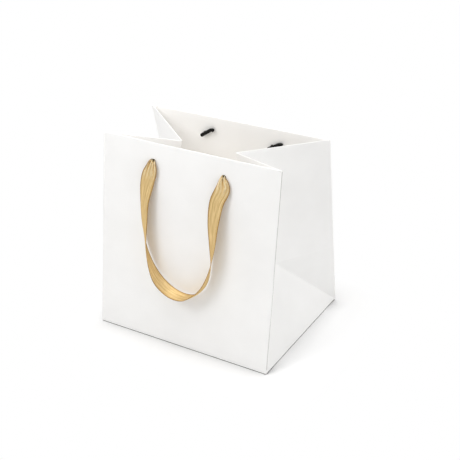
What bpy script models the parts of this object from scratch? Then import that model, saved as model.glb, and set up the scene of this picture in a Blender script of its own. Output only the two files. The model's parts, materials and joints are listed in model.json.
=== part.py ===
"""White paper gift bag, standing with its mouth partly folded in, with two satin ribbon handles."""
import math

import bmesh
import bpy
from mathutils import Matrix, Vector

# Sizes of the bag, in metres
WIDTH = 0.220
DEPTH = 0.176
WALL_LENGTH = 0.230
FRONT_LEAN = math.radians(8)
BACK_LEAN = math.radians(11)
BACK_FLARE = 0.0055
FOOT_LEAN = math.radians(25)
LEVEL_CREASE_DROP = 0.0045
APEX_LIFT = 0.0040
MOUTH_CREASE_IN = 0.074
MOUTH_CREASE_AHEAD = 0.015
MOUTH_CREASE_DROP = 0.0135
PAPER = 0.00035
GAP = 0.00015
EDGE_GAP = 0.0008
WALL_LOW = 0.0010
CORNER_GAP = 0.0013
CORNER_SPREAD = 0.0021
HEM = 0.060
BOARD = 0.0008
BASE_BOARD = 0.0015
BASE_BOARD_PLAY = 0.0030
SIDE_FLAP = 0.050
LAP = 0.015
SEAM = 0.015

# Sizes of the handles and what holds them
HOLE_X = 0.044
HOLE_DROPS = {"front": 0.0205, "back": 0.0235}
HOLE_RADIUS = 0.0025
PIVOT_OUT = 0.0024
RIBBON = 0.016
SATIN = 0.0004
GATHER = 0.018
BUNCH = (0.0032, 0.0020)
BAR_RADIUS = 0.0019
SHANK = 0.0022

# Centre line of a hanging ribbon between its holes: across, down from the holes, out from the wall,
# and the turn of its face in degrees
RIBBON_ENDS = (-20, 200)
RIBBON_PATH = (
    (-0.0441, 0.0087, 0.0048, -9), (-0.0469, 0.0210, 0.0058, -11), (-0.0495, 0.0429, 0.0074, 20),
    (-0.0488, 0.0690, 0.0080, 34), (-0.0461, 0.0864, 0.0090, 49), (-0.0429, 0.1012, 0.0098, 62),
    (-0.0352, 0.1189, 0.0104, 81), (-0.0241, 0.1327, 0.0109, 102), (-0.0081, 0.1416, 0.0109, 107),
    (0.0087, 0.1430, 0.0110, 100), (0.0220, 0.1364, 0.0110, 87), (0.0332, 0.1228, 0.0110, 93),
    (0.0389, 0.1034, 0.0105, 110), (0.0403, 0.0775, 0.0100, 140), (0.0392, 0.0503, 0.0085, 165),
    (0.0408, 0.0272, 0.0070, 186), (0.0458, 0.0122, 0.0052, 198))
RIBBON_STEPS = 5
RIBBON_STRIPS = 4

# A bar from its drooping end to its straight end: along, rise, slope in degrees, size of its section
BAR_LINE = ((-0.0157, -0.0026, 50, 0.6), (-0.0152, -0.0020, 50, 1), (-0.0131, -0.0004, 25, 1),
            (-0.0083, 0, 0, 1), (-SHANK / 2, 0, 0, 1), (SHANK / 2, 0, 0, 1), (0.0049, 0, 0, 1),
            (0.0057, 0, 0, 0.6))

# Angles at which the four bars lie across their holes, in degrees
BAR_TURNS = {"front_left": 8, "front_right": 15, "back_left": 35, "back_right": 32}

FLATNESS = 0.000002
GUSSET_STRIPS = 12
GUSSET_ROWS = 10
HEM_ROWS = 4

HALF = WIDTH / 2
FOOT = DEPTH / 2
FOLD_FILL = BOARD + 2 * GAP
LEVEL = FOOT - LEVEL_CREASE_DROP
HOLE_UPS = {wall: WALL_LENGTH - drop for wall, drop in HOLE_DROPS.items()}
FLARES = {"front": 0, "back": BACK_FLARE / WALL_LENGTH}
HEM_BEND = WALL_LENGTH - PAPER - GAP / 2
MOUTH_CREASE = Vector((HALF - MOUTH_CREASE_IN, -MOUTH_CREASE_AHEAD, WALL_LENGTH - MOUTH_CREASE_DROP))
APEX = Vector((HALF - FOOT * math.sin(FOOT_LEAN), 0, FOOT * math.cos(FOOT_LEAN) + APEX_LIFT))
SIDE_FLAP_LOW = 2 * PAPER + 2 * GAP
BASE_BOARD_LOW = SIDE_FLAP_LOW + PAPER + GAP

for item in list(bpy.data.objects):
    bpy.data.objects.remove(item, do_unlink=True)


def material(name, colour, roughness):
    """Plain Principled material."""
    made = bpy.data.materials.new(name)
    made.use_nodes = True
    shader = made.node_tree.nodes["Principled BSDF"]
    shader.inputs["Base Color"].default_value = (*colour, 1)
    shader.inputs["Roughness"].default_value = roughness
    shader.inputs["Metallic"].default_value = 0
    return made


WHITE_PAPER = material("white_paper", (0.88, 0.87, 0.85), 0.45)
GREY_BOARD = material("grey_board", (0.55, 0.52, 0.48), 0.85)
GOLD_SATIN = material("gold_satin", (0.62, 0.44, 0.20), 0.35)
BLACK_PLASTIC = material("black_plastic", (0.012, 0.011, 0.010), 0.40)


def flat(corners):
    """Whether four corners lie in one plane."""
    a, b, c, d = [vertex.co for vertex in corners]
    return abs((c - a).cross(d - b).normalized().dot(b - a)) < FLATNESS


def solid(name, rings, look, frame=None, origin=(0, 0, 0)):
    """Closed solid lofted through rings of points, placed in a frame with its origin on its axis."""
    origin = Vector(origin)
    shape = bmesh.new()
    loops = [[shape.verts.new(Vector(point) - origin) for point in ring] for ring in rings]
    count = len(loops[0])
    for one, two in zip(loops, loops[1:]):
        for i in range(count):
            j = (i + 1) % count
            corners = (one[i], one[j], two[j], two[i])
            if flat(corners):
                shape.faces.new(corners)
                continue
            # Both skins of a twisted sheet are split along the same diagonal
            start = 0 if one[i].co.z < one[j].co.z else 1
            split = corners[start:] + corners[:start]
            shape.faces.new(split[:3])
            shape.faces.new((split[2], split[3], split[0]))
    shape.faces.new(reversed(loops[0]))
    shape.faces.new(loops[-1])
    if shape.calc_volume(signed=True) < 0:
        bmesh.ops.reverse_faces(shape, faces=shape.faces)
    mesh = bpy.data.meshes.new(name)
    shape.to_mesh(mesh)
    shape.free()
    mesh.materials.append(look)
    made = bpy.data.objects.new(name, mesh)
    bpy.context.collection.objects.link(made)
    made.parent = frame
    made.location = origin
    return made


def plate(name, corners, inward, thick, look, margin=0.0):
    """Flat sheet with the given corners, drawn in from its creases by a margin."""
    inset = []
    for i, corner in enumerate(corners):
        before = (corners[i - 1] - corner).normalized()
        after = (corners[(i + 1) % len(corners)] - corner).normalized()
        inset.append(corner + (before + after) * (margin / before.cross(after).length))
    return solid(name, [inset, [point + inward * thick for point in inset]], look)


def punch(target, frame, hole_up):
    """Two round holes for the handle, through every layer of a wall."""
    for side in (-1, 1):
        ring = []
        for i in range(24):
            turn = math.tau * i / 24
            ring.append((side * HOLE_X + HOLE_RADIUS * math.cos(turn),
                         hole_up + HOLE_RADIUS * math.sin(turn)))
        rings = [[(x, depth, up) for x, up in ring] for depth in (-0.002, 0.006)]
        cutter = solid(target.name + ("_left_cut" if side < 0 else "_right_cut"), rings, WHITE_PAPER, frame)
        cutter.hide_render = True
        cutter.display_type = "WIRE"
        cut = target.modifiers.new("hole", "BOOLEAN")
        cut.operation = "DIFFERENCE"
        cut.solver = "EXACT"
        cut.object = cutter


def steps(start, end, count):
    """Evenly spaced values from start to end, both included."""
    return [start + (end - start) * i / count for i in range(count + 1)]


def turned_profile(heights, fill, hem_rows=1):
    """Section of a sheet whose top edge is turned in: pairs of height and depth from the outer face."""
    outer = PAPER + fill / 2
    inner = fill / 2
    bend = WALL_LENGTH - outer
    turns = [math.radians(angle) for angle in (0, 36, 72, 108, 144, 180)]
    hem = steps(bend, WALL_LENGTH - HEM, hem_rows)[1:]
    over = [(bend + outer * math.sin(a), outer - outer * math.cos(a)) for a in turns]
    under = [(bend + inner * math.sin(a), outer - inner * math.cos(a)) for a in reversed(turns)]
    return ([(up, 0) for up in heights] + over + [(up, 2 * outer) for up in hem]
            + [(up, 2 * outer - PAPER) for up in reversed(hem)] + under
            + [(up, PAPER) for up in reversed(heights)])


def wall_frame(name, side, lean):
    """Frame on a base crease: across, into the bag, up the wall."""
    frame = bpy.data.objects.new(name, None)
    bpy.context.collection.objects.link(frame)
    turn = Matrix.Rotation(0 if side < 0 else math.pi, 4, "Z") @ Matrix.Rotation(-lean, 4, "X")
    frame.matrix_world = Matrix.Translation((0, side * FOOT, 0)) @ turn
    return frame


def wall(name, frame):
    """Front or back wall with its turned-in hem, and the board inside the fold."""
    profile = turned_profile([WALL_LOW], FOLD_FILL)
    rings = [[(hand * (HALF + FLARES[name] * up), d, up) for up, d in profile] for hand in (-1, 1)]
    panel = solid(name + "_panel", rings, WHITE_PAPER, frame)
    low = WALL_LENGTH - HEM + 0.004
    high = WALL_LENGTH - PAPER - 3 * GAP
    near = PAPER + GAP
    far = near + BOARD
    section = [(near, low), (far, low), (far, high - BOARD / 3), (far - BOARD / 3, high),
               (near + BOARD / 3, high), (near, high - BOARD / 3)]
    reach = HALF - 0.004
    board = solid(name + "_top_board", [[(x, d, up) for d, up in section] for x in (-reach, reach)],
                  GREY_BOARD, frame)
    punch(panel, frame, HOLE_UPS[name])
    punch(board, frame, HOLE_UPS[name])


def ribbon_sections(hole_up):
    """Rings of the ribbon along its path, gathered to a bunch at each hole."""
    ends = [(x, 0, PIVOT_OUT, turn) for x, turn in zip((-HOLE_X, HOLE_X), RIBBON_ENDS)]
    path = [Vector(point) for point in (ends[0], *RIBBON_PATH, ends[1])]
    samples = []
    for i in range(len(path) - 1):
        a, b = path[i], path[i + 1]
        slope_a = (b - path[max(i - 1, 0)]) / 2
        slope_b = (path[min(i + 2, len(path) - 1)] - a) / 2
        for step in range(RIBBON_STEPS):
            t = step / RIBBON_STEPS
            samples.append(a * (2 * t ** 3 - 3 * t ** 2 + 1) + slope_a * (t ** 3 - 2 * t ** 2 + t)
                           + b * (3 * t ** 2 - 2 * t ** 3) + slope_b * (t ** 3 - t ** 2))
    samples.append(path[-1])
    points = [Vector((s[0], -s[2], hole_up - s[1])) for s in samples]
    along = [0]
    for one, two in zip(points, points[1:]):
        along.append(along[-1] + (two - one).length)
    rings = []
    for i, point in enumerate(points):
        ahead = (points[min(i + 1, len(points) - 1)] - points[max(i - 1, 0)]).normalized()
        flat = Vector((-ahead.z, 0, ahead.x)).normalized()
        turn = math.radians(samples[i][3])
        across = flat * math.cos(turn) + Vector((0, -math.sin(turn), 0))
        across = (across - ahead * across.dot(ahead)).normalized()
        face = ahead.cross(across)
        open_up = min(1, min(along[i], along[-1] - along[i]) / GATHER)
        open_up = math.sin(open_up * math.pi / 2)
        w = (BUNCH[0] + (RIBBON - BUNCH[0]) * open_up) / 2
        h = (BUNCH[1] + (SATIN - BUNCH[1]) * open_up) / 2
        rings.append([point + across * (a * w) - face * h for a in steps(-1, 1, RIBBON_STRIPS)]
                     + [point + across * (a * w) + face * h for a in steps(1, -1, RIBBON_STRIPS)])
    return rings


def handle(name, frame):
    """Ribbon handle, turning about the line through its two holes."""
    hole_up = HOLE_UPS[name]
    solid(name + "_handle", ribbon_sections(hole_up), GOLD_SATIN, frame, (0, -PIVOT_OUT, hole_up))


def toggle(name, frame, x, hole_up):
    """Moulded bar behind a hole, with a flat shank that reaches out through the hole."""
    depth = 2 * PAPER + FOLD_FILL + 2 * GAP + BAR_RADIUS
    rings = []
    for along, rise, slope, size in BAR_LINE:
        slope = math.radians(slope)
        ring = []
        for i in range(8):
            turn = math.tau * (i + 0.5) / 8
            up = BAR_RADIUS * size * math.sin(turn)
            ring.append((x + along - up * math.sin(slope), depth - BAR_RADIUS * size * math.cos(turn),
                         hole_up + rise + up * math.cos(slope)))
        rings.append(ring)
    made = solid(name + "_toggle", rings, BLACK_PLASTIC, frame, (x, 0, hole_up))
    shape = bmesh.new()
    shape.from_mesh(made.data)
    faces = [f for f in shape.faces if f.normal.y < -0.99 and abs(f.calc_center_median().x) < 0.0001]
    grown = bmesh.ops.extrude_discrete_faces(shape, faces=faces)["faces"]
    for vertex in grown[0].verts:
        vertex.co.y = -0.0006
    shape.to_mesh(made.data)
    shape.free()
    made.rotation_euler = (0, math.radians(BAR_TURNS[name]), 0)


def gusset(side, name):
    """One folded side: the two halves beside the centre crease, their lower folds and the base triangle."""
    flip = Matrix.Scale(side, 4, (1, 0, 0))
    apex = flip @ APEX
    mouth = flip @ MOUTH_CREASE
    inside = Vector((-side, 0, 0))
    fronts = Vector((side * HALF, -FOOT, 0))
    backs = Vector((side * HALF, FOOT, 0))
    under_foot = Vector((-side * APEX.z, 0, APEX.x - HALF)).normalized()
    plate(name + "_gusset_foot", [fronts, backs, apex], under_foot, PAPER, WHITE_PAPER, EDGE_GAP)
    for half, end, lean, corner in (("front", -1, FRONT_LEAN, fronts), ("back", 1, BACK_LEAN, backs)):
        up_wall = Vector((0, -end * math.sin(lean), math.cos(lean)))
        into_bag = Vector((0, -end * math.cos(lean), -math.sin(lean)))

        def edge(up):
            stand_off = CORNER_GAP + CORNER_SPREAD * up / WALL_LENGTH
            return corner + up_wall * up + into_bag * stand_off - inside * (FLARES[half] * up)

        def spot(share, up):
            if up < LEVEL:
                return edge(0) + (apex - edge(LEVEL)) * share + (edge(LEVEL) - edge(0)) * (up / LEVEL)
            crease = apex.lerp(mouth, (up - LEVEL) / (WALL_LENGTH - LEVEL))
            return edge(up).lerp(crease, share)

        def ring(share, profile):
            points = []
            for up, depth in profile:
                across = spot(share + 0.01, up) - spot(share - 0.01, up)
                rise = spot(share, up + 0.0005) - spot(share, up - 0.0005)
                normal = across.cross(rise).normalized()
                normal *= math.copysign(1, normal.dot(inside))
                points.append(spot(share, up) + normal * depth)
            return points

        rings = []
        for share in steps(0, 0.992, GUSSET_STRIPS):
            if half == "front":
                heights = steps(LEVEL + 2 * EDGE_GAP, HEM_BEND, GUSSET_ROWS)[:-1]
                heights.insert(0, share * LEVEL + 1.5 * EDGE_GAP)
            else:
                heights = steps(LEVEL + EDGE_GAP / 2, HEM_BEND, GUSSET_ROWS)[:-1]
            rings.append(ring(share, turned_profile(heights, GAP, HEM_ROWS)))
        if half == "back":
            low = [edge(0), edge(LEVEL), apex]
            normal = (low[1] - low[0]).cross(low[2] - low[0]).normalized()
            normal *= math.copysign(1, normal.dot(inside))
            plate(name + "_gusset_low_fold", low, normal, PAPER, WHITE_PAPER, EDGE_GAP)
        solid(f"{name}_gusset_{half}", rings, WHITE_PAPER)


def base():
    """Four glued bottom flaps, lapped along the middle, and the loose stiffening board on them."""
    reach = HALF - EDGE_GAP
    far = FOOT - EDGE_GAP
    lifted = 2 * PAPER + GAP
    front_top = [(-far, PAPER), (-LAP - 0.007, PAPER), (-LAP - 0.002, lifted), (LAP, lifted)]
    front_low = [(y, z - PAPER) for y, z in reversed(front_top)]
    back = [(-LAP, 0), (far, 0), (far, PAPER), (-LAP, PAPER)]
    for name, section in (("front", front_top + front_low), ("back", back)):
        rings = [[(x, y, z) for y, z in section] for x in (-reach, reach)]
        solid(f"bottom_flap_{name}", rings, WHITE_PAPER)
    edge = HALF - 2 * EDGE_GAP
    wide = FOOT - 4 * EDGE_GAP
    for name, side in (("left", -1), ("right", 1)):
        short = wide - SIDE_FLAP
        corners = ((edge, -wide), (edge, wide), (edge - SIDE_FLAP, short), (edge - SIDE_FLAP, -short))
        flap = [Vector((side * x, y, SIDE_FLAP_LOW)) for x, y in corners]
        plate(f"bottom_flap_{name}", flap, Vector((0, 0, 1)), PAPER, WHITE_PAPER)
    x = HALF - BASE_BOARD_PLAY
    y = FOOT - BASE_BOARD_PLAY
    board = [Vector((a * x, b * y, BASE_BOARD_LOW)) for a, b in ((-1, -1), (1, -1), (1, 1), (-1, 1))]
    plate("base_board", board, Vector((0, 0, 1)), BASE_BOARD, GREY_BOARD)


def seam(frame):
    """Glued lap that closes the sheet into a tube, inside the back wall."""
    near = PAPER + GAP
    section = [(near, 0.006), (near + PAPER, 0.006), (near + PAPER, WALL_LENGTH - HEM - 0.001),
               (near, WALL_LENGTH - HEM - 0.001)]
    rings = [[(x, d, up) for d, up in section] for x in (HALF - 0.003 - SEAM, HALF - 0.003)]
    solid("back_seam_lap", rings, WHITE_PAPER, frame)


base()
gusset(-1, "left")
gusset(1, "right")
for wall_name, facing, wall_lean in (("front", -1, FRONT_LEAN), ("back", 1, BACK_LEAN)):
    crease = wall_frame(wall_name + "_crease", facing, wall_lean)
    wall(wall_name, crease)
    handle(wall_name, crease)
    for hand in (-1, 1):
        hole_name = wall_name + ("_left" if hand * facing > 0 else "_right")
        toggle(hole_name, crease, hand * HOLE_X, HOLE_UPS[wall_name])
    if wall_name == "back":
        seam(crease)
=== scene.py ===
import json
import math

import bpy
from mathutils import Matrix, Vector
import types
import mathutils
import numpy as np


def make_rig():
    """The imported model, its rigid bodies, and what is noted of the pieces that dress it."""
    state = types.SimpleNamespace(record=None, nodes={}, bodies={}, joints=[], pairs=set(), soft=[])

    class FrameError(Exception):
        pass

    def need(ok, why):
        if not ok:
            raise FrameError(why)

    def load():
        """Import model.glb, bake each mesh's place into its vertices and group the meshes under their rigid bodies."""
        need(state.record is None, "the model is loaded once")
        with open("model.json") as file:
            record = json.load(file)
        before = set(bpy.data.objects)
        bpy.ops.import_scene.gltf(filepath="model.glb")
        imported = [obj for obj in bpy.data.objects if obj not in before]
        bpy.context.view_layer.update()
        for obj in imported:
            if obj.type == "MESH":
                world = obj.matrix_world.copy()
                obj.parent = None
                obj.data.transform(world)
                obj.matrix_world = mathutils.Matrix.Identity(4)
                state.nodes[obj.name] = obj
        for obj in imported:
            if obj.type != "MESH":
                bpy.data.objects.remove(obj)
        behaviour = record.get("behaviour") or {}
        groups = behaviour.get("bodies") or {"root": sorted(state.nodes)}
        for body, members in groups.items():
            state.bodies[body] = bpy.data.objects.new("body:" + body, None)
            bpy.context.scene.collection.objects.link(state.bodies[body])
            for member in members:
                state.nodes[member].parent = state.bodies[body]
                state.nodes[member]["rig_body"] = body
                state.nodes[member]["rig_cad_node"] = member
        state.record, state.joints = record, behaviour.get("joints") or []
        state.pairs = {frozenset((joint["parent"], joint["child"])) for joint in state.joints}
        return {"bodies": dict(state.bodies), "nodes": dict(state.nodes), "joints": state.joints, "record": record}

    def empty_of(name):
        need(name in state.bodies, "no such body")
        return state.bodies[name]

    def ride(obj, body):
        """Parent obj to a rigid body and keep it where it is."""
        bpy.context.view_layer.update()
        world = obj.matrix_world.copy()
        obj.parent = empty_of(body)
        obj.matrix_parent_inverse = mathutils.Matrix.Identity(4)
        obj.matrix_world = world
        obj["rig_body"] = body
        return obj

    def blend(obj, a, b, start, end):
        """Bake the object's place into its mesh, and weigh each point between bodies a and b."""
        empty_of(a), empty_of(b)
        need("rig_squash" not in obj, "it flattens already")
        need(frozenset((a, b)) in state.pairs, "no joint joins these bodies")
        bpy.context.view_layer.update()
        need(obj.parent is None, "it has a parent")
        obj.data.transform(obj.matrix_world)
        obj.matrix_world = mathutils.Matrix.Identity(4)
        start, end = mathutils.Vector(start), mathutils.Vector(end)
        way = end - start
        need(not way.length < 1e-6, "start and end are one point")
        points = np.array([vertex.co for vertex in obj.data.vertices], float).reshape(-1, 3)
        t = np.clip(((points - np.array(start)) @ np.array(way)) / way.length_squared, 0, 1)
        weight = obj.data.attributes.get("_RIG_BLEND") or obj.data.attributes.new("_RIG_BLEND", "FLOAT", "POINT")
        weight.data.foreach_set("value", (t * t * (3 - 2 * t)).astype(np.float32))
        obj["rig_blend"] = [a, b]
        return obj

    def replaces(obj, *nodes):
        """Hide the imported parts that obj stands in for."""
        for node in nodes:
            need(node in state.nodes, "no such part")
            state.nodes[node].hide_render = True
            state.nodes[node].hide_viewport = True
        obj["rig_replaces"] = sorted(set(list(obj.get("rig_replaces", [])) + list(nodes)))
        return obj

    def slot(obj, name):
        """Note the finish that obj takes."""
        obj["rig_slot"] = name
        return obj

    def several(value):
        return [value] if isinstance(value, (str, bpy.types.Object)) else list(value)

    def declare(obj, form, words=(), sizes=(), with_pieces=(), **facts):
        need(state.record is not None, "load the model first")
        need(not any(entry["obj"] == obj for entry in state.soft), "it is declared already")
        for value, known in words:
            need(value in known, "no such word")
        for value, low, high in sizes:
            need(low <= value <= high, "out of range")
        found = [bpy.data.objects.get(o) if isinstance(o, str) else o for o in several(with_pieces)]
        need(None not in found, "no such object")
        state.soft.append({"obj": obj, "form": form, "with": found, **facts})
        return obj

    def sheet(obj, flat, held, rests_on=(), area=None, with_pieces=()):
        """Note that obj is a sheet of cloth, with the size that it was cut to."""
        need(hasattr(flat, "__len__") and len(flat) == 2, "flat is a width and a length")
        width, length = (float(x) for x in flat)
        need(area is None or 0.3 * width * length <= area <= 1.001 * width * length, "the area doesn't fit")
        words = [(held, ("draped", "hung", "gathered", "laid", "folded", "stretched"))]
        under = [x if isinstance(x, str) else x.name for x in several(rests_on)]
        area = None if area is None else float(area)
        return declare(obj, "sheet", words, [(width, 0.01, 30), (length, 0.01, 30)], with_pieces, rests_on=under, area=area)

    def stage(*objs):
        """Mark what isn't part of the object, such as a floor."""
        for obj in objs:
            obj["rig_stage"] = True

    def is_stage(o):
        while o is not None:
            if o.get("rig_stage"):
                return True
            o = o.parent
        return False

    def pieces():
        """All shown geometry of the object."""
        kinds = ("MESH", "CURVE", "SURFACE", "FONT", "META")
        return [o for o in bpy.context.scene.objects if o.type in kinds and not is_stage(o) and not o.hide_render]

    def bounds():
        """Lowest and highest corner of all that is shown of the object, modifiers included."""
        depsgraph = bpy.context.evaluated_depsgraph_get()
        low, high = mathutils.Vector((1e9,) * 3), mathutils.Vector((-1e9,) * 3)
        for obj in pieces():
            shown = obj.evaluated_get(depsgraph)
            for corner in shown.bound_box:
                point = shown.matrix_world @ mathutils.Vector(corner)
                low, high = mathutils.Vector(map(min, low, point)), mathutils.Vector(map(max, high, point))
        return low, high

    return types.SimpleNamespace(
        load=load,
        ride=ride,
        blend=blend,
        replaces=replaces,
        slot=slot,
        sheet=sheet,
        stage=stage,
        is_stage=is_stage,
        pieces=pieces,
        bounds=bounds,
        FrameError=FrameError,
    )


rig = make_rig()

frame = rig.load()
solid_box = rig.bounds()

# Bottom of the bag
# Four flaps of the white paper, folded under and glued over each other, the two long ones outside.
# They are flat sheets that the base carries, so the solids stay and only get their paper finish.


def add_node(tree, kind, links=(), **settings):
    """Adds one shader node; links are pairs of an input's name and the output that feeds it."""
    node = tree.nodes.new(kind)
    for name, value in settings.items():
        setattr(node, name, value)
    for name, source in links:
        tree.links.new(source, node.inputs[name])
    return node


def empty_look(name):
    """A new material, its tree and its one shader."""
    look = bpy.data.materials.new(name)
    look.use_nodes = True
    return look, look.node_tree, look.node_tree.nodes["Principled BSDF"]


def noise_on(tree, place, scale, detail=3.0, roughness=0.55):
    """Soft irregular pattern with features about 1 / scale metres across."""
    noise = add_node(tree, "ShaderNodeTexNoise", [("Vector", place)])
    noise.inputs["Scale"].default_value = scale
    noise.inputs["Detail"].default_value = detail
    noise.inputs["Roughness"].default_value = roughness
    return noise.outputs["Fac"]


def two_tone(tree, pattern, low, high, dark, light):
    """Colour that goes from dark to light as the pattern goes from low to high."""
    ramp = add_node(tree, "ShaderNodeValToRGB", [("Fac", pattern)])
    ramp.color_ramp.elements[0].position = low
    ramp.color_ramp.elements[1].position = high
    ramp.color_ramp.elements[0].color = (*dark, 1)
    ramp.color_ramp.elements[1].color = (*light, 1)
    return ramp.outputs["Color"]


def between(tree, value, low, high, start=0.0, stop=1.0, **settings):
    """Number that goes from low to high as the value goes from start to stop."""
    span = add_node(tree, "ShaderNodeMapRange", [("Value", value)], **settings)
    span.inputs["From Min"].default_value = start
    span.inputs["From Max"].default_value = stop
    span.inputs["To Min"].default_value = low
    span.inputs["To Max"].default_value = high
    return span.outputs["Result"]


def tinted(tree, tone, share, colour):
    """The tone, which goes over to a colour as the share goes from 0 to 1."""
    mix = add_node(tree, "ShaderNodeMix", data_type="RGBA")
    mix.inputs["B"].default_value = (*colour, 1)
    tree.links.new(share, mix.inputs["Factor"])
    tree.links.new(tone, mix.inputs["A"])
    return mix.outputs["Result"]


def bump(tree, height, depth, strength, under=None):
    """Surface relief of the given depth in metres."""
    relief = add_node(tree, "ShaderNodeBump", [("Height", height)])
    relief.inputs["Distance"].default_value = depth
    relief.inputs["Strength"].default_value = strength
    if under is not None:
        tree.links.new(under, relief.inputs["Normal"])
    return relief.outputs["Normal"]


def dress(tree, shader, tone, rough, relief, shine):
    """Gives the shader its colour, roughness, relief and how strongly it mirrors."""
    tree.links.new(tone, shader.inputs["Base Color"])
    tree.links.new(rough, shader.inputs["Roughness"])
    tree.links.new(relief, shader.inputs["Normal"])
    shader.inputs["Specular IOR Level"].default_value = shine


def paper_look(name, dark, light, fold_painted):
    """White laminated paper: faint cloudy tone, fine fibres, and optionally a painted pale highlight along folds and a
    painted grey shade line along sharp creases.
    """
    look, tree, shader = empty_look(name)
    place = add_node(tree, "ShaderNodeTexCoord").outputs["Object"]
    cloud = noise_on(tree, place, scale=34, detail=4.0)
    fibre = noise_on(tree, place, scale=1500, detail=2.0)
    tone = two_tone(tree, cloud, 0.3, 0.7, dark, light)
    if fold_painted:
        fold = add_node(tree, "ShaderNodeAttribute", attribute_name="fold").outputs["Fac"]
        # Painted highlight: where the fold value is above 0 the paper turns paler, as a fold catching light.
        tone = tinted(tree, tone, fold, (0.968, 0.965, 0.955))
        # Painted shade: where the fold value is below 0 the paper turns grey, as shade in a sharp crease.
        sharp = between(tree, fold, 0, 1, start=0, stop=-1)
        tone = tinted(tree, tone, sharp, (0.45, 0.44, 0.42))
    soft = bump(tree, cloud, depth=0.0008, strength=0.10)
    fibrous = bump(tree, fibre, depth=0.00006, strength=0.35, under=soft)
    dress(tree, shader, tone, between(tree, cloud, 0.44, 0.58), fibrous, shine=0.35)
    return look


# Painted light: the inside paper is made lighter than the outer paper, to stand in for light inside the bag.
inner_paper_painted_lighter = paper_look("inner_paper_painted_lighter", (0.966, 0.956, 0.940), (0.984, 0.976, 0.963), fold_painted=False)
for flap in ("bottom_flap_front", "bottom_flap_back", "bottom_flap_left", "bottom_flap_right"):
    frame["nodes"][flap].data.materials[0] = inner_paper_painted_lighter

# Stiffening boards
# Grey recycled board, cut straight: one loose on the bottom, one in the top fold of each wide wall.
# The pulp shows as grey flecks on a paler ground, and the surface is rough and uncoated.
grey_board, tree, shader = empty_look("grey_board")
place = add_node(tree, "ShaderNodeTexCoord").outputs["Object"]
pulp = noise_on(tree, place, scale=120, detail=5.0, roughness=0.7)
fleck = noise_on(tree, place, scale=900, detail=2.0, roughness=0.6)
board_tone = two_tone(tree, pulp, 0.25, 0.75, (0.47, 0.44, 0.40), (0.60, 0.57, 0.52))
fleck_share = between(tree, fleck, 0, 0.6, start=0.60, stop=0.72)
flecked = tinted(tree, board_tone, fleck_share, (0.30, 0.28, 0.26))
pitted = bump(tree, fleck, depth=0.00012, strength=0.5)
dress(tree, shader, flecked, between(tree, pulp, 0.80, 0.95), pitted, shine=0.2)
for board in ("base_board", "front_top_board", "back_top_board"):
    frame["nodes"][board].data.materials[0] = grey_board

# Wide walls, front and back
# One stiff sheet of laminated white paper each, 220 by 230 mm, creased at the bottom, leaning in a little.
# The top 60 mm is folded to the inside over a board strip, and two 5 mm holes are punched through it.
half_width = 0.110
half_depth = 0.088
wall_length = 0.230
leans = {"front": math.radians(8), "back": math.radians(11)}
flares = {"front": 0, "back": 0.0055 / wall_length}
paper = 0.00035
bottom_round = 0.0015
bottom_turn = math.radians(80)
hem_thick = 0.0018
hem_length = 0.060
hem_steps = 6
hem_narrowing = 0.020
hole_x = 0.044
hole_ups = {"front": 0.2095, "back": 0.2065}
hole_radius = 0.0025
belly = 0.0009
belly_top = 0.165
ripple = 0.00035
outer_skin = 0.0003
# Painted highlight and shade along the wall's folds: full up to the first distance from a fold, gone at the second;
# the left side crease gets less painted shade.
fold_paint_full = 0.0003
fold_paint_fade = 0.0009
left_crease_shade = 0.3
touching = 0.00001
outer_paper = paper_look("outer_paper", (0.862, 0.857, 0.846), (0.888, 0.883, 0.873), fold_painted=True)


def smooth(low, high, value):
    """Soft step from 0 at low to 1 at high."""
    share = min(1, max(0, (value - low) / (high - low)))
    return share * share * (3 - 2 * share)


def pick(piece):
    """Selects this piece alone."""
    bpy.ops.object.select_all(action="DESELECT")
    piece.select_set(True)
    bpy.context.view_layer.objects.active = piece


def apply_all(piece):
    """Applies the piece's modifiers in their order."""
    pick(piece)
    for modifier in list(piece.modifiers):
        bpy.ops.object.modifier_apply(modifier=modifier.name)


def thicken(piece, thick, offset):
    """Gives a sheet its thickness."""
    shell = piece.modifiers.new("thickness", "SOLIDIFY")
    shell.thickness = thick
    shell.offset = offset
    shell.use_even_offset = True
    apply_all(piece)


def keep_fold_paint(piece, fold_paint):
    """Stores each point's painted fold light, for the painted pale highlight or painted grey shade line along a fold.
    """
    fold = piece.data.attributes.new("fold", "FLOAT", "POINT")
    fold.data.foreach_set("value", fold_paint)


def wall_fold_paint(side, spot):
    """Painted fold light of a wall: above 0 a painted highlight on the rounded folds at bottom and top, below 0 a
    painted shade line on the sharp side creases.
    """
    from_fold = min(spot.y - bottom_round, wall_length - spot.y)
    from_side = half_width + flares[side] * spot.y - abs(spot.x)
    rounded = 1 - smooth(fold_paint_full, fold_paint_fade, from_fold)
    sharp = smooth(fold_paint_full, fold_paint_fade, from_side) - 1
    return rounded if rounded > 0 else sharp if spot.x > 0 else left_crease_shade * sharp


def stand_wall(side):
    """Place of a wall whose sheet was drawn flat, with X across, Y up and Z towards the outside."""
    facing = -1 if side == "front" else 1
    lean = leans[side]
    up = Vector((0, -facing * math.sin(lean), math.cos(lean)))
    out = Vector((0, facing * math.cos(lean), math.sin(lean)))
    turn = Matrix((up.cross(out), up, out)).transposed().to_4x4()
    return Matrix.Translation((0, facing * half_depth, 0)) @ turn


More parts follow.
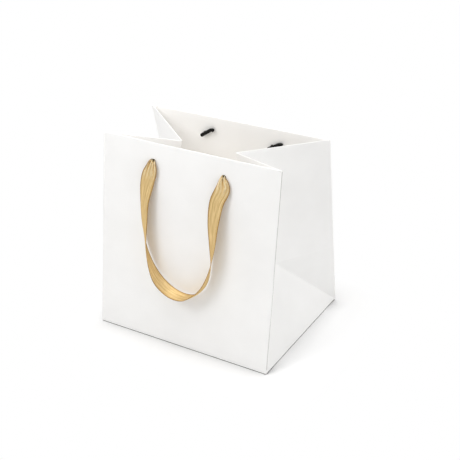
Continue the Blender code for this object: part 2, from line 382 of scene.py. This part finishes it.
for side in ("front", "back"):
    bend = wall_length - hem_thick / 2
    bpy.ops.object.select_all(action="DESELECT")
    bpy.ops.mesh.primitive_grid_add(x_subdivisions=44, y_subdivisions=46, size=1)
    wall = bpy.context.object
    wall.name = side + "_wall_sheet"
    bpy.ops.object.mode_set(mode="EDIT")
    bpy.ops.transform.resize(value=(2 * half_width, bend - bottom_round, 1))
    bpy.ops.transform.translate(value=(0, (bend + bottom_round) / 2, 0))
    bpy.ops.mesh.inset(thickness=fold_paint_fade)
    bpy.ops.mesh.select_mode(type="EDGE")
    for level, radius, steps, angle, axis in (
            (bottom_round, bottom_round, 4, bottom_turn, (-1, 0, 0)),
            (bend, hem_thick / 2 - paper / 2, 8, math.pi, (1, 0, 0))):
        bpy.ops.mesh.select_all(action="DESELECT")
        bpy.ops.object.mode_set(mode="OBJECT")
        for edge in wall.data.edges:
            ends = [wall.data.vertices[i].co for i in edge.vertices]
            edge.select = all(abs(e.y - level) < touching and e.z > -touching for e in ends)
        bpy.ops.object.mode_set(mode="EDIT")
        bpy.ops.mesh.spin(steps=steps, angle=angle, center=(0, level, -radius), axis=axis)
    for step in range(hem_steps):
        down = (0, -hem_length / hem_steps, 0)
        bpy.ops.mesh.extrude_region_move(TRANSFORM_OT_translate={"value": down})
    bpy.ops.mesh.select_all(action="SELECT")
    bpy.ops.mesh.remove_doubles(threshold=touching / 2)
    bpy.ops.object.mode_set(mode="OBJECT")
    for vertex in wall.data.vertices:
        x, up, out = vertex.co
        if up > hem_length:
            vertex.co.x *= 1 - hem_narrowing * smooth(0, hem_thick, -out)
        vertex.co.x *= 1 + flares[side] * up / half_width
        if out > -outer_skin:
            swell = math.sin(math.pi * smooth(0, belly_top, up))
            across = belly * (1 - (x / half_width) ** 2) + ripple * math.sin(31 * x + 1)
            vertex.co.z += swell * across
    thicken(wall, paper, -1)
    bpy.ops.object.select_all(action="DESELECT")
    for x in (-hole_x, hole_x):
        bpy.ops.mesh.primitive_cylinder_add(vertices=32, radius=hole_radius, depth=0.02,
                                            location=(x, hole_ups[side], 0))
        punch = bpy.context.object
        cut = wall.modifiers.new("hole", "BOOLEAN")
        cut.operation = "DIFFERENCE"
        cut.solver = "EXACT"
        cut.object = punch
        apply_all(wall)
        bpy.data.objects.remove(punch, do_unlink=True)
    # Painted highlight on the rounded folds and painted shade on the side creases.
    keep_fold_paint(wall, [wall_fold_paint(side, vertex.co) for vertex in wall.data.vertices])
    wall.data.materials.append(outer_paper)
    wall.data.materials.append(inner_paper_painted_lighter)
    # The inner faces take the paper painted lighter.
    for face in wall.data.polygons:
        face.material_index = 1 if face.normal.z < -0.3 and face.center.z < -paper / 2 else 0
    wall.data.transform(stand_wall(side))
    pick(wall)
    bpy.ops.object.shade_smooth_by_angle(angle=math.radians(35))
    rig.ride(wall, side + "_wall")
    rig.replaces(wall, side + "_panel")
    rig.slot(wall, "white_paper")

# Glued lap of the back wall
# A 15 mm strip of the same sheet, glued to the inside of the back wall where the sheet closes into a tube.
# It is flat and hidden below the hem, so its solid stays.
frame["nodes"]["back_seam_lap"].data.materials[0] = inner_paper_painted_lighter

# Side gussets
# The narrow sides of the same sheet, creased down the middle and pushed in, each two twisted halves.
# Low on each side a triangle folds up from the base, and a level crease runs back from its point.
foot_lean = math.radians(25)
apex_out = half_width - half_depth * math.sin(foot_lean)
apex_up = half_depth * math.cos(foot_lean) + 0.004
apexes = {"left": Vector((-apex_out, 0, apex_up)), "right": Vector((apex_out, 0, apex_up))}
mouth_creases = {"left": Vector((-0.036, -0.015, 0.2165)), "right": Vector((0.0335, -0.015, 0.2165))}
level_crease = half_depth - 0.0045
crease_band = 0.0007
edge_inset = 0.0002
behind_wall = 0.0003
top_round = 0.00042
lip_width = 0.005
lip_tuck = 0.0006
lip_ends = 1 / 6
narrow = 0.006
foot_steps = 16
foot_lift = 0.0002
foot_point = 0.999


def gusset_half(side, end):
    """Gives, for one half, its edge at a height and a point of its sheet at a share across and a height."""
    hand = -1 if side == "left" else 1
    facing = -1 if end == "front" else 1
    lean = leans[end]
    corner = Vector((hand * (half_width - edge_inset), facing * half_depth, 0))
    up_wall = Vector((0, -facing * math.sin(lean), math.cos(lean)))
    into_bag = Vector((0, -facing * math.cos(lean), -math.sin(lean)))

    def edge(up):
        flare = Vector((hand * flares[end] * up, 0, 0))
        return corner + up_wall * up + into_bag * behind_wall + flare

    def spot(share, up):
        if up < level_crease:
            return edge(up) + (apexes[side] - edge(level_crease)) * share
        climbed = (up - level_crease) / (wall_length - level_crease)
        return edge(up).lerp(apexes[side].lerp(mouth_creases[side], climbed), share)

    return edge, spot


for side in ("left", "right"):
    hand = -1 if side == "left" else 1
    inside = Vector((-hand, 0, 0))
    apex = apexes[side]
    for end in ("front", "back"):
        edge, spot = gusset_half(side, end)
        bend = wall_length - top_round
        diagonal = (apex - edge(0)).normalized()
        under_foot = Vector((0, -edge(0).y, 0))
        under_foot = (under_foot - diagonal * under_foot.dot(diagonal)).normalized()
        rows = [("lip", 1), ("lip", 0.5)]
        rows += [("low", i / 9) for i in range(9)] + [("low", 0.991), ("low", 1)]
        rows += [("up", level_crease + crease_band)]
        rows += [("up", level_crease + (bend - level_crease) * i / 26) for i in range(1, 27)]
        rows += [("turn", math.pi * i / 6) for i in range(1, 7)]
        rows += [("hem", i / 6) for i in range(1, 7)]
        shares = [0, narrow] + [i / 28 for i in range(1, 28)] + [1 - narrow, 1]
        last_row = len(rows) - 1
        last_share = len(shares) - 1
        bpy.ops.object.select_all(action="DESELECT")
        bpy.ops.mesh.primitive_grid_add(x_subdivisions=last_share, y_subdivisions=last_row, size=1)
        half = bpy.context.object
        half.name = f"{side}_gusset_{end}_sheet"
        fold_paint = []
        for vertex in half.data.vertices:
            share = shares[round((vertex.co.x + 0.5) * last_share)]
            kind, value = rows[round((vertex.co.y + 0.5) * last_row)]
            rim = min(share, 1 - share)
            lip = depth = 0
            if kind == "lip":
                up = level_crease * share
                lip = min(1, rim / lip_ends)
            elif kind == "low":
                up = level_crease * (share + (1 - share) * value)
            elif kind == "up":
                up = value
            elif kind == "turn":
                up = bend + top_round * math.sin(value)
                depth = top_round - top_round * math.cos(value)
            else:
                up = bend - hem_length * value
                depth = 2 * top_round
            across = spot(share + 0.01, up) - spot(share - 0.01, up)
            rise = spot(share, up + 0.0005) - spot(share, up - 0.0005)
            normal = across.cross(rise).normalized()
            normal *= math.copysign(1, normal.dot(inside))
            vertex.co = spot(share, up) + normal * depth
            vertex.co += (under_foot * lip_width * value + inside * lip_tuck) * lip
            # Painted highlight along the top turn, both long edges and the level crease.
            if kind == "turn" or rim < narrow / 2:
                fold_paint.append(0.9)
            else:
                fold_paint.append(0.25 if kind == "low" and value == 1 else 0.0)
        keep_fold_paint(half, fold_paint)
        bpy.ops.object.mode_set(mode="EDIT")
        bpy.ops.mesh.select_all(action="SELECT")
        bpy.ops.mesh.remove_doubles(threshold=touching / 2)
        bpy.ops.object.mode_set(mode="OBJECT")
        middle = half.data.polygons[len(half.data.polygons) // 3]
        if middle.normal.dot(inside) > 0:
            half.data.flip_normals()
        thicken(half, paper, -1)
        half.data.materials.append(outer_paper)
        half.data.materials.append(inner_paper_painted_lighter)
        # The inner faces take the paper painted lighter.
        for face in half.data.polygons:
            face.material_index = 1 if face.normal.dot(inside) > 0.2 else 0
        bpy.ops.object.shade_smooth_by_angle(angle=math.radians(28))
        across_wall = (edge(1) - edge(0)).cross(mouth_creases[side] - apex).normalized()
        reach = (apex - edge(0)).dot(across_wall)
        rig.blend(half, end + "_wall", "base", edge(0), edge(0) + across_wall * reach)
        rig.replaces(half, f"{side}_gusset_{end}")
        if end == "back":
            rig.replaces(half, side + "_gusset_low_fold")
        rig.slot(half, "white_paper")

    # The triangle over the base edge, with the lips of the two halves behind it
    bpy.ops.object.select_all(action="DESELECT")
    bpy.ops.mesh.primitive_grid_add(x_subdivisions=foot_steps, y_subdivisions=foot_steps, size=1)
    foot = bpy.context.object
    foot.name = side + "_gusset_foot_sheet"
    front_corner = Vector((hand * half_width, -half_depth, foot_lift))
    back_corner = Vector((hand * half_width, half_depth, foot_lift))
    steps = [0, narrow] + [i / 14 for i in range(1, 14)] + [1 - narrow, 1]
    rises = [0, 0.001, 0.003, 0.006, 0.010, 0.016] + [0.03 + 0.097 * i for i in range(10)] + [1]
    fold_paint = []
    for vertex in foot.data.vertices:
        along = steps[round((vertex.co.x + 0.5) * foot_steps)]
        rise = rises[round((vertex.co.y + 0.5) * foot_steps)]
        vertex.co = front_corner.lerp(back_corner, along).lerp(apex, rise * foot_point)
        under = max(0, bottom_round - vertex.co.z)
        vertex.co.x -= hand * (bottom_round - math.sqrt(bottom_round ** 2 - under ** 2))
        # Painted highlight along the side edges and just above the bottom fold.
        fold_paint.append(0.6 if min(along, 1 - along) < narrow / 2 or 0 < rise < 0.02 else 0.0)
    keep_fold_paint(foot, fold_paint)
    if foot.data.polygons[0].normal.dot(inside) > 0:
        foot.data.flip_normals()
    thicken(foot, paper, -1)
    foot.data.materials.append(outer_paper)
    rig.ride(foot, "base")
    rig.replaces(foot, side + "_gusset_foot")
    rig.slot(foot, "white_paper")

# Toggles
# Black moulded bars, 22 mm long and 4 mm thick, with rounded ends, the long end drooping.
# Each lies across a hole on the inside and holds the ribbon; its flat shank goes into the hole.
bar_radius = 0.0021
bar_ends = (-0.0165, 0.0057)
bar_rounding = 0.0013
bar_gap = 0.00035
droop_from = -0.0107
droop_radius = 0.0059
droop_cut = 0.0008
shank_middle = (0, 0.0009, 0.0023)
shank_size = (0.0024, 0.0020, 0.0048)
shank_rounding = 0.0003
bar_turns = {"front_left": 8, "front_right": 15, "back_left": 35, "back_right": 32}
black_plastic, tree, shader = empty_look("black_plastic")
place = add_node(tree, "ShaderNodeTexCoord").outputs["Object"]
moulded = noise_on(tree, place, scale=700)
bar_tone = two_tone(tree, moulded, 0.3, 0.7, (0.004, 0.0035, 0.0035), (0.008, 0.007, 0.0065))
grained = bump(tree, moulded, depth=0.00004, strength=0.4)
dress(tree, shader, bar_tone, between(tree, moulded, 0.40, 0.58), grained, shine=0.12)

bpy.ops.object.select_all(action="DESELECT")
bpy.ops.mesh.primitive_cylinder_add(vertices=24, radius=bar_radius, depth=bar_ends[1] - bar_ends[0],
                                    location=(sum(bar_ends) / 2, 0, 0), rotation=(0, math.pi / 2, 0))
bar = bpy.context.object
bpy.ops.object.transform_apply(location=True, rotation=True)
bpy.ops.object.mode_set(mode="EDIT")
bpy.ops.mesh.select_all(action="DESELECT")
bpy.ops.object.mode_set(mode="OBJECT")
for face in bar.data.polygons:
    face.select = abs(face.normal.x) > 0.9
bpy.ops.object.mode_set(mode="EDIT")
bpy.ops.mesh.select_mode(type="FACE")
bpy.ops.mesh.bevel(offset=bar_rounding, segments=6, affect="EDGES")
for cut in range(6):
    bpy.ops.mesh.select_all(action="SELECT")
    bpy.ops.mesh.bisect(plane_co=(droop_from - droop_cut * cut, 0, 0), plane_no=(1, 0, 0))
bpy.ops.object.mode_set(mode="OBJECT")
for vertex in bar.data.vertices:
    past = droop_from - vertex.co.x
    if past > 0:
        reach = droop_radius + vertex.co.y
        vertex.co.x = droop_from - reach * math.sin(past / droop_radius)
        vertex.co.y = reach * math.cos(past / droop_radius) - droop_radius
bpy.ops.object.mode_set(mode="EDIT")
bpy.ops.mesh.select_all(action="DESELECT")
bpy.ops.mesh.primitive_cube_add(size=1, location=shank_middle)
bpy.ops.transform.resize(value=shank_size, center_override=shank_middle)
bpy.ops.mesh.bevel(offset=shank_rounding, segments=2, affect="EDGES")
bpy.ops.object.mode_set(mode="OBJECT")
bar.data.materials.append(black_plastic)
bpy.ops.object.shade_smooth_by_angle(angle=math.radians(40))
for end in ("front", "back"):
    for hand, side in ((-1, "left"), (1, "right")):
        toggle = bpy.data.objects.new(f"{end}_{side}_bar", bar.data.copy())
        bpy.context.collection.objects.link(toggle)
        behind = hem_thick + bar_gap + bar_radius
        turn = math.radians(bar_turns[f"{end}_{side}"])
        drawn_x = hand * hole_x if end == "front" else -hand * hole_x
        lie = Matrix.Translation((drawn_x, hole_ups[end], -behind)) @ Matrix.Rotation(-turn, 4, "Z")
        toggle.data.transform(stand_wall(end) @ lie)
        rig.ride(toggle, f"{end}_{side}_toggle")
        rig.replaces(toggle, f"{end}_{side}_toggle")
        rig.slot(toggle, "black_plastic")
bpy.data.objects.remove(bar, do_unlink=True)

# Ribbon handles
# Woven gold satin ribbon, 16 mm wide and about 340 mm long, limp and twisted, hanging down a wall.
# Each end is gathered into pleats, pushed through its hole and held by the toggle behind.
ribbon_width = 0.016
ribbon_length = 0.340
ribbon_thick = 0.0003


def reckon(tree, operation, one, two=None):
    """Result of a sum on the outputs of other nodes or on numbers."""
    step = add_node(tree, "ShaderNodeMath", operation=operation)
    for socket, value in zip(step.inputs, (one, two)):
        if isinstance(value, bpy.types.NodeSocket):
            tree.links.new(value, socket)
        elif value is not None:
            socket.default_value = value
    return step.outputs["Value"]


def ribs_on(tree, place, direction, scale, distortion, detail=2.0, detail_scale=1.0):
    """Even ribs, one after the other in the given direction."""
    ribs = add_node(tree, "ShaderNodeTexWave", [("Vector", place)], wave_type="BANDS",
                    bands_direction=direction)
    ribs.inputs["Scale"].default_value = scale
    ribs.inputs["Distortion"].default_value = distortion
    ribs.inputs["Detail"].default_value = detail
    ribs.inputs["Detail Scale"].default_value = detail_scale
    return ribs.outputs["Fac"]


gold_satin, tree, shader = empty_look("gold_satin")
strip = add_node(tree, "ShaderNodeUVMap", uv_map="strip").outputs["UV"]
strip_axes = add_node(tree, "ShaderNodeSeparateXYZ", [("Vector", strip)])
from_middle = reckon(tree, "ABSOLUTE", strip_axes.outputs["X"])
from_lowest = reckon(tree, "SUBTRACT", strip_axes.outputs["Y"], ribbon_length / 2)
from_lowest = reckon(tree, "ABSOLUTE", from_lowest)
selvedge = between(tree, from_middle, 0, 1, start=0.0064, stop=0.0077)
near_hole = between(tree, from_lowest, 0, 1, start=ribbon_length / 2 - 0.024, stop=ribbon_length / 2 - 0.004)
lengthwise = add_node(tree, "ShaderNodeMapping", [("Vector", strip)])
lengthwise.inputs["Scale"].default_value = (1, 0.06, 1)
streak = noise_on(tree, lengthwise.outputs["Vector"], scale=700, detail=4.0, roughness=0.65)
cloud = noise_on(tree, strip, scale=60, detail=2.0)
crumple = noise_on(tree, strip, scale=150)
threads = ribs_on(tree, strip, "Y", scale=520, distortion=0.6)
gather_relief_and_highlight = ribs_on(tree, strip, "X", scale=75, distortion=6.0, detail=3.0, detail_scale=1.5)
gather_relief_and_highlight = reckon(tree, "MULTIPLY", gather_relief_and_highlight, near_hole)
satin_tone = two_tone(tree, streak, 0.28, 0.72, (0.57, 0.372, 0.135), (0.97, 0.757, 0.412))
# Painted highlight: the ridges of the pleats near the holes are made paler, as pleats catching light.
satin_tone = tinted(tree, satin_tone, gather_relief_and_highlight, (1.0, 0.90, 0.64))
satin_tone = tinted(tree, satin_tone, selvedge, (0.38, 0.20, 0.05))
crumpled = bump(tree, crumple, depth=0.0013, strength=0.6)
gathered = bump(tree, gather_relief_and_highlight, depth=0.0020, strength=1.0, under=crumpled)
woven = bump(tree, threads, depth=0.00003, strength=0.3, under=gathered)
streaked = bump(tree, streak, depth=0.00008, strength=0.4, under=woven)
dress(tree, shader, satin_tone, between(tree, cloud, 0.46, 0.58), streaked, shine=0.3)
across_strip = add_node(tree, "ShaderNodeTangent", direction_type="UV_MAP", uv_map="strip")
tree.links.new(across_strip.outputs["Tangent"], shader.inputs["Tangent"])
shader.inputs["Metallic"].default_value = 0.6
shader.inputs["Anisotropic"].default_value = 0.9
shader.inputs["Specular Tint"].default_value = (0.45, 0.27, 0.09, 1)

# Across, down from the holes, out from the wall, and the turn of the ribbon's face in degrees
ribbon_path = (
    (-0.0440, -0.0002, -0.0013, -20), (-0.0440, 0.0010, 0.0022, -20),
    (-0.0441, 0.0087, 0.0048, -9), (-0.0469, 0.0210, 0.0058, -11), (-0.0495, 0.0429, 0.0074, 20),
    (-0.0488, 0.0690, 0.0080, 34), (-0.0461, 0.0864, 0.0090, 49), (-0.0429, 0.1012, 0.0098, 62),
    (-0.0352, 0.1189, 0.0104, 81), (-0.0241, 0.1327, 0.0109, 102), (-0.0081, 0.1416, 0.0109, 107),
    (0.0087, 0.1430, 0.0110, 100), (0.0220, 0.1364, 0.0110, 87), (0.0332, 0.1228, 0.0110, 93),
    (0.0389, 0.1034, 0.0105, 110), (0.0403, 0.0775, 0.0100, 140), (0.0392, 0.0503, 0.0085, 165),
    (0.0408, 0.0272, 0.0070, 186), (0.0458, 0.0122, 0.0052, 198),
    (0.0440, 0.0010, 0.0022, 200), (0.0440, -0.0002, -0.0013, 200))
path_steps = 9
across_steps = 24
end_width = 0.0034
gather_length = 0.018
pleats = ((0.0017, 0.026), (0.0002, 0.07))
pleat_waves = 2.2
pleat_shift = 0.6
hollow = 0.0010
bend_out = 0.0024
bend_from = 0.001
bend_to = 0.016


def curve_through(points, steps):
    """Smooth line through the points."""
    points = [Vector(point) for point in points]
    line = []
    for i in range(len(points) - 1):
        a, b = points[i], points[i + 1]
        leave = (b - points[max(i - 1, 0)]) / 2
        arrive = (points[min(i + 2, len(points) - 1)] - a) / 2
        for step in range(steps):
            t = step / steps
            line.append(a * (2 * t ** 3 - 3 * t ** 2 + 1) + leave * (t ** 3 - 2 * t ** 2 + t)
                        + b * (3 * t ** 2 - 2 * t ** 3) + arrive * (t ** 3 - t ** 2))
    return line + [points[-1]]


for end in ("front", "back"):
    hole_up = hole_ups[end]
    line = curve_through(ribbon_path, path_steps)
    last = len(line) - 1
    centre = [Vector((p[0], hole_up - p[1], p[2])) for p in line]
    along = [0.0]
    for one, two in zip(centre, centre[1:]):
        along.append(along[-1] + (two - one).length)
    bpy.ops.object.select_all(action="DESELECT")
    bpy.ops.mesh.primitive_grid_add(x_subdivisions=across_steps, y_subdivisions=last, size=1)
    ribbon = bpy.context.object
    ribbon.name = end + "_ribbon"
    strip_map = {}
    for vertex in ribbon.data.vertices:
        share = 2 * vertex.co.x
        i = round((vertex.co.y + 0.5) * last)
        ahead = (centre[min(i + 1, last)] - centre[max(i - 1, 0)]).normalized()
        sideways = Vector((-ahead.y, ahead.x, 0))
        if sideways.length < 0.6:
            sideways = Vector((1 if i < len(line) / 2 else -1, 0, 0))
        sideways.normalize()
        turn = math.radians(line[i][3])
        across = sideways * math.cos(turn) + Vector((0, 0, math.sin(turn)))
        across = (across - ahead * across.dot(ahead)).normalized()
        face = ahead.cross(across)
        from_hole = min(along[i], along[-1] - along[i])
        spread = math.sin(min(1, from_hole / gather_length) * math.pi / 2)
        wide = end_width + (ribbon_width - end_width) * spread
        pleat = sum(depth * (1 - smooth(0, reach, from_hole)) for depth, reach in pleats)
        lift = pleat * math.cos(share * math.pi * pleat_waves + pleat_shift)
        lift -= hollow * spread * (share * share - 0.4)
        vertex.co = centre[i] + across * (share * wide / 2) + face * lift
        strip_map[vertex.index] = (share * ribbon_width / 2, along[i])
    strip_uv = ribbon.data.uv_layers.new(name="strip")
    for loop in ribbon.data.loops:
        strip_uv.data[loop.index].uv = strip_map[loop.vertex_index]
    stand = stand_wall(end)
    ribbon.data.transform(stand)
    thicken(ribbon, ribbon_thick, 0)
    ribbon.data.materials.append(gold_satin)
    bpy.ops.object.shade_smooth_by_angle(angle=math.radians(60))
    start = stand @ Vector((0, hole_up - bend_from, bend_out))
    hung = stand @ Vector((0, hole_up - bend_to, bend_out))
    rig.blend(ribbon, end + "_wall", end + "_handle", start, hung)
    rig.replaces(ribbon, end + "_handle")
    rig.slot(ribbon, "gold_satin")
    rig.sheet(ribbon, flat=(ribbon_width, along[-1]), held="hung", rests_on=[end + "_wall_sheet"])

# Floor
# A plain white table top with no edge in sight, which takes the bag's soft shadow from the lamps.
# Its colour also carries a painted shadow where the bag stands close above it, stronger on the right, and it is plain
# white a little further off.
shadow_reach = 0.025
shade_steps = ((0.28, 0.86), (0.45, 0.72))
white_from = 0.055


def looked_at(tree):
    """1 for a ray that looks at the surroundings straight, in a reflection or through something clear."""
    rays = add_node(tree, "ShaderNodeLightPath")
    seen = rays.outputs["Is Camera Ray"]
    for kind in ("Is Glossy Ray", "Is Transmission Ray"):
        seen = reckon(tree, "MAXIMUM", seen, rays.outputs[kind])
    return seen


bpy.ops.object.select_all(action="DESELECT")
bpy.ops.mesh.primitive_circle_add(vertices=96, radius=3.0, fill_type="NGON")
floor = bpy.context.object
floor.name = "floor"
floor.location.z = -0.0002
white_floor, tree, shader = empty_look("white_floor")
shader.inputs["Roughness"].default_value = 0.9
shader.inputs["Specular IOR Level"].default_value = 0.0
place = add_node(tree, "ShaderNodeTexCoord").outputs["Object"]
# Painted shadow: the floor's colour darkens where the bag is close around a point, and more so on the right of the
# bag.
close_by = add_node(tree, "ShaderNodeAmbientOcclusion", samples=16)
close_by.inputs["Distance"].default_value = shadow_reach
to_right = add_node(tree, "ShaderNodeSeparateXYZ", [("Vector", place)]).outputs["X"]
right_shadow_gain = between(tree, to_right, 1.0, 1.6, start=0.106, stop=0.124)
painted_shadow_share = reckon(tree, "SUBTRACT", 1.0, close_by.outputs["AO"])
painted_shadow_share = reckon(tree, "MULTIPLY", painted_shadow_share, right_shadow_gain)
shade = add_node(tree, "ShaderNodeValToRGB", [("Fac", painted_shadow_share)])
shade.color_ramp.elements[0].color = (0.95, 0.95, 0.95, 1)
shade.color_ramp.elements[1].position = 0.58
shade.color_ramp.elements[1].color = (0.10, 0.10, 0.10, 1)
for step, tone in shade_steps:
    shade.color_ramp.elements.new(step).color = (tone, tone, tone, 1)
tree.links.new(shade.outputs["Color"], shader.inputs["Base Color"])
past_bag = place
for operation, amount in (("SUBTRACT", (0.010, -0.003, 0)), ("ABSOLUTE", (0, 0, 0)),
                          ("SUBTRACT", (half_width, half_depth, 0)), ("MAXIMUM", (0, 0, 0))):
    step = add_node(tree, "ShaderNodeVectorMath", [(0, past_bag)], operation=operation)
    step.inputs[1].default_value = amount
    past_bag = step.outputs["Vector"]
aside = add_node(tree, "ShaderNodeVectorMath", [(0, past_bag)], operation="LENGTH").outputs["Value"]
fade = between(tree, aside, 0, 1, stop=white_from, interpolation_type="SMOOTHSTEP")
white = add_node(tree, "ShaderNodeEmission")
both = add_node(tree, "ShaderNodeMixShader", [("Fac", reckon(tree, "MULTIPLY", looked_at(tree), fade))])
tree.links.new(shader.outputs["BSDF"], both.inputs[1])
tree.links.new(white.outputs["Emission"], both.inputs[2])
tree.links.new(both.outputs["Shader"], tree.nodes["Material Output"].inputs["Surface"])
floor.data.materials.append(white_floor)
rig.stage(floor)

# Light
# An even white room with soft lamps: the strongest at the front left, others above, at both sides and behind.
# A small one stands in the bag and one is aimed into its left back corner, so that the inside stays light.
room_light = 0.577
bag_middle = (0, 0, 0.13)
world = bpy.data.worlds.new("room")
bpy.context.scene.world = world
world.use_nodes = True
tree = world.node_tree
background = tree.nodes["Background"]
background.inputs["Color"].default_value = (1.0, 0.998, 0.994, 1)
tree.links.new(between(tree, looked_at(tree), room_light, 1.0), background.inputs["Strength"])


def hang_lamp(name, kind, spot, aim, power):
    """A new lamp at a spot, aimed at a point."""
    lamp = bpy.data.lights.new(name, kind)
    lamp.energy = power
    lamp_stand = bpy.data.objects.new(name, lamp)
    bpy.context.collection.objects.link(lamp_stand)
    lamp_stand.location = spot
    lamp_stand.rotation_euler = (Vector(aim) - Vector(spot)).to_track_quat("-Z", "Y").to_euler()
    return lamp_stand


for name, spot, size, power in (("top_lamp", (0, -0.35, 1.30), 0.5, 2.8),
                                ("left_lamp", (-0.55, -1.00, 1.15), 0.6, 6.3),
                                ("right_lamp", (1.30, -0.20, 0.80), 0.9, 1.9),
                                ("far_left_lamp", (-1.20, 0.35, 0.90), 0.9, 2.2),
                                ("far_right_lamp", (1.00, 0.55, 1.10), 0.8, 4.3),
                                ("back_lamp", (0, 0.50, 1.20), 0.6, 1.7)):
    hang_lamp(name, "AREA", spot, bag_middle, power).data.size = size

inside_lamp = hang_lamp("inside_lamp", "POINT", (-0.03, -0.01, 0.10), bag_middle, 0.080)
inside_lamp.data.color = (1.0, 0.95, 0.88)
inside_lamp.data.shadow_soft_size = 0.04
inside_lamp.visible_camera = False

corner_lamp = hang_lamp("corner_lamp", "SPOT", (0.30, -0.20, 0.60), (-0.085, 0.055, 0.207), 2.5)
corner_lamp.data.spot_size = math.radians(23)
corner_lamp.data.spot_blend = 1.0
corner_lamp.data.shadow_soft_size = 0.06

# Camera
# Looking down at the front right corner, from about 1.1 m away.
azimuth = math.radians(30.793)
elevation = math.radians(27.895)
roll = math.radians(-0.934)
distance = 1.09938
aim_height = 0.088
shift_right = 0.012663
shift_up = 0.017373
back = Vector((math.sin(azimuth) * math.cos(elevation), -math.cos(azimuth) * math.cos(elevation),
               math.sin(elevation)))
level = Vector((math.cos(azimuth), math.sin(azimuth), 0))
upright = back.cross(level)
right = level * math.cos(roll) + upright * math.sin(roll)
top = upright * math.cos(roll) - level * math.sin(roll)
target = Vector((0, 0, aim_height)) + right * shift_right + top * shift_up
camera = bpy.data.objects.new("camera", bpy.data.cameras.new("camera"))
bpy.context.collection.objects.link(camera)
camera.data.sensor_width = 36
camera.data.lens = 74.41
camera.matrix_world = (Matrix.Translation(target + back * distance)
                       @ Matrix((right, top, back)).transposed().to_4x4())
bpy.context.scene.camera = camera
bpy.context.scene.view_settings.view_transform = "Standard"

with open("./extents.json", "w") as file:
    json.dump({"cad": [list(corner) for corner in solid_box],
               "visual": [list(corner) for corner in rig.bounds()]}, file)
